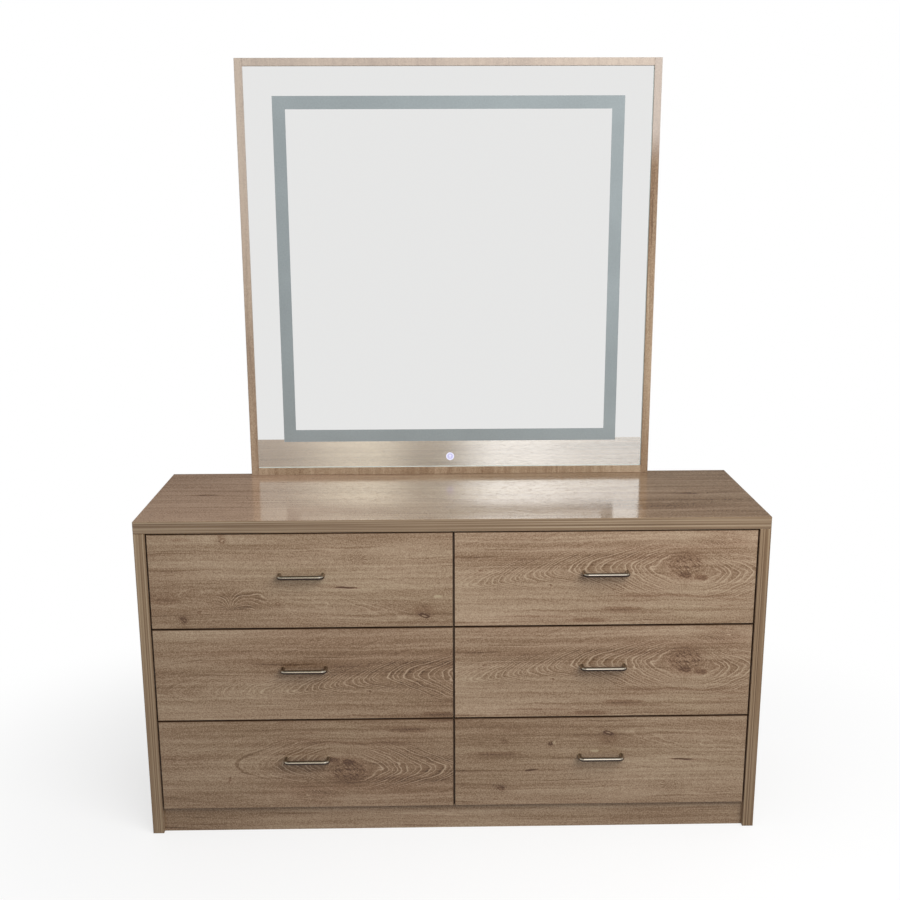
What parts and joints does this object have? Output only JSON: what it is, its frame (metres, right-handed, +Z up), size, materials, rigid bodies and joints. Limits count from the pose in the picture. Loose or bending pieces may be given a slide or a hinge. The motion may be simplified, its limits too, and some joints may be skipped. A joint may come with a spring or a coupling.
{
  "type": "dresser with mirror",
  "caption": "Wide low dresser with two stacks of full-extension drawers and a square mirror with a frosted light band standing on its top",
  "frame": {"origin": "on the floor under the middle of the whole dresser, pulls and mirror posts included", "axes": "+X to the right seen from the front, +Y to the back, +Z up"},
  "size_m": [1.4, 0.4746, 1.755],
  "materials": {
    "oak_laminate": "light grey-brown oak-grain melamine, satin",
    "carcass_board": "plain oak-tone melamine, matt",
    "hardboard": "smooth faced hardboard",
    "mdf": "bare fibreboard",
    "satin_nickel": "satin nickel",
    "zinc_steel": "bright zinc plate",
    "mirror_silver": "silvered float glass with a frosted band",
    "light_strip": "light strip under a milky sleeve",
    "beech": "fluted beech dowel",
    "foam": "closed-cell foam",
    "black_plastic": "moulded housing",
    "white_plastic": "moulded housing"
  },
  "bodies": {
    "case": {"top_panel": "oak_laminate", "side_panel_left": "oak_laminate", "side_panel_right": "oak_laminate", "centre_divider": "carcass_board", "bottom_panel": "carcass_board", "plinth_front": "oak_laminate", "plinth_rear": "carcass_board", "plinth_brace": "carcass_board", "back_panels": "hardboard", "rear_rails": "carcass_board", "runner_case_members": "zinc_steel", "mirror_frame_left": "oak_laminate", "mirror_frame_right": "oak_laminate", "mirror_frame_top": "oak_laminate", "mirror_frame_bottom": "oak_laminate", "mirror_glass": "mirror_silver", "mirror_back_board": "mdf", "light_strips": "light_strip", "glazing_pads": "foam", "touch_switch": "black_plastic", "light_driver": "white_plastic", "mirror_posts": "carcass_board", "post_screws": "zinc_steel", "case_dowels": "beech"},
    "drawer_top_left": {"drawer_front_top_left": "oak_laminate", "drawer_box_top_left": "carcass_board", "drawer_bottom_top_left": "hardboard", "handle_top_left": "satin_nickel", "runner_drawer_members_top_left": "zinc_steel"},
    "runners_top_left": {"runner_mid_members_top_left": "zinc_steel"},
    "drawer_top_right": {"drawer_front_top_right": "oak_laminate", "drawer_box_top_right": "carcass_board", "drawer_bottom_top_right": "hardboard", "handle_top_right": "satin_nickel", "runner_drawer_members_top_right": "zinc_steel"},
    "runners_top_right": {"runner_mid_members_top_right": "zinc_steel"},
    "drawer_middle_left": {"drawer_front_middle_left": "oak_laminate", "drawer_box_middle_left": "carcass_board", "drawer_bottom_middle_left": "hardboard", "handle_middle_left": "satin_nickel", "runner_drawer_members_middle_left": "zinc_steel"},
    "runners_middle_left": {"runner_mid_members_middle_left": "zinc_steel"},
    "drawer_middle_right": {"drawer_front_middle_right": "oak_laminate", "drawer_box_middle_right": "carcass_board", "drawer_bottom_middle_right": "hardboard", "handle_middle_right": "satin_nickel", "runner_drawer_members_middle_right": "zinc_steel"},
    "runners_middle_right": {"runner_mid_members_middle_right": "zinc_steel"},
    "drawer_bottom_left": {"drawer_front_bottom_left": "oak_laminate", "drawer_box_bottom_left": "carcass_board", "drawer_bottom_bottom_left": "hardboard", "handle_bottom_left": "satin_nickel", "runner_drawer_members_bottom_left": "zinc_steel"},
    "runners_bottom_left": {"runner_mid_members_bottom_left": "zinc_steel"},
    "drawer_bottom_right": {"drawer_front_bottom_right": "oak_laminate", "drawer_box_bottom_right": "carcass_board", "drawer_bottom_bottom_right": "hardboard", "handle_bottom_right": "satin_nickel", "runner_drawer_members_bottom_right": "zinc_steel"},
    "runners_bottom_right": {"runner_mid_members_bottom_right": "zinc_steel"}
  },
  "joints": [
    {"name": "drawer_top_left_slide", "type": "slide", "parent": "case", "child": "drawer_top_left", "axis": [0, -1, 0], "range_m": [0, 0.35]},
    {"name": "runners_top_left_slide", "type": "slide", "parent": "case", "child": "runners_top_left", "axis": [0, -1, 0], "range_m": [0, 0.175]},
    {"name": "drawer_top_right_slide", "type": "slide", "parent": "case", "child": "drawer_top_right", "axis": [0, -1, 0], "range_m": [0, 0.35]},
    {"name": "runners_top_right_slide", "type": "slide", "parent": "case", "child": "runners_top_right", "axis": [0, -1, 0], "range_m": [0, 0.175]},
    {"name": "drawer_middle_left_slide", "type": "slide", "parent": "case", "child": "drawer_middle_left", "axis": [0, -1, 0], "range_m": [0, 0.35]},
    {"name": "runners_middle_left_slide", "type": "slide", "parent": "case", "child": "runners_middle_left", "axis": [0, -1, 0], "range_m": [0, 0.175]},
    {"name": "drawer_middle_right_slide", "type": "slide", "parent": "case", "child": "drawer_middle_right", "axis": [0, -1, 0], "range_m": [0, 0.35]},
    {"name": "runners_middle_right_slide", "type": "slide", "parent": "case", "child": "runners_middle_right", "axis": [0, -1, 0], "range_m": [0, 0.175]},
    {"name": "drawer_bottom_left_slide", "type": "slide", "parent": "case", "child": "drawer_bottom_left", "axis": [0, -1, 0], "range_m": [0, 0.35]},
    {"name": "runners_bottom_left_slide", "type": "slide", "parent": "case", "child": "runners_bottom_left", "axis": [0, -1, 0], "range_m": [0, 0.175]},
    {"name": "drawer_bottom_right_slide", "type": "slide", "parent": "case", "child": "drawer_bottom_right", "axis": [0, -1, 0], "range_m": [0, 0.35]},
    {"name": "runners_bottom_right_slide", "type": "slide", "parent": "case", "child": "runners_bottom_right", "axis": [0, -1, 0], "range_m": [0, 0.175]}
  ],
  "couplings": [
    {"joint": "runners_top_left_slide", "follows": "drawer_top_left_slide", "ratio": 0.5},
    {"joint": "runners_top_right_slide", "follows": "drawer_top_right_slide", "ratio": 0.5},
    {"joint": "runners_middle_left_slide", "follows": "drawer_middle_left_slide", "ratio": 0.5},
    {"joint": "runners_middle_right_slide", "follows": "drawer_middle_right_slide", "ratio": 0.5},
    {"joint": "runners_bottom_left_slide", "follows": "drawer_bottom_left_slide", "ratio": 0.5},
    {"joint": "runners_bottom_right_slide", "follows": "drawer_bottom_right_slide", "ratio": 0.5}
  ]
}
